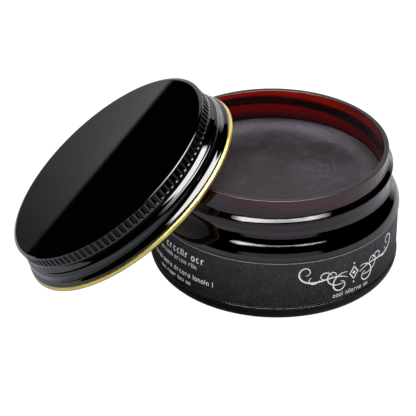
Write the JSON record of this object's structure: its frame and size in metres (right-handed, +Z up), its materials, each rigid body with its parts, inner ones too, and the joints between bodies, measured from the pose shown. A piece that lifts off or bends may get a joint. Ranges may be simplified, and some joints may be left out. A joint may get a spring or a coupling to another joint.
{
  "type": "shoe polish jar",
  "caption": "Low round screw-neck jar filled with cream shoe polish, open, with its knurled metal screw lid and sealing liner leaning on the rim.",
  "frame": {"origin": "centre of the jar's base, on the surface that it stands on", "axes": "+Z up along the jar's axis; the open lid leans towards -X, and its own axis lies in the XZ plane"},
  "size_m": [0.0932, 0.062, 0.0437],
  "materials": {
    "amber_plastic": "glossy dark amber, slightly see-through where thin",
    "label_print": "satin black printed film",
    "cream": "black cream, soft satin with fine unevenness",
    "black_lacquer": "high-gloss black lacquer outside, gold lacquer on the curl and inside",
    "liner_foam": "off-white foamed sealing disc"
  },
  "bodies": {
    "jar": {"jar": "amber_plastic", "label": "label_print", "polish_cream": "cream"},
    "lid_liner": {"lid_liner": "liner_foam"},
    "lid_shell": {"lid_shell": "black_lacquer"}
  },
  "joints": [
    {"name": "lid_lift", "type": "slide", "parent": "jar", "child": "lid_liner", "axis": [-0.6157, 0, 0.788], "range_m": [0, 0.06]},
    {"name": "lid_turn", "type": "hinge", "parent": "lid_liner", "child": "lid_shell", "pos_m": [-0.04026, 0, 0.0261], "axis": [-0.6157, 0, 0.788], "continuous": true}
  ]
}
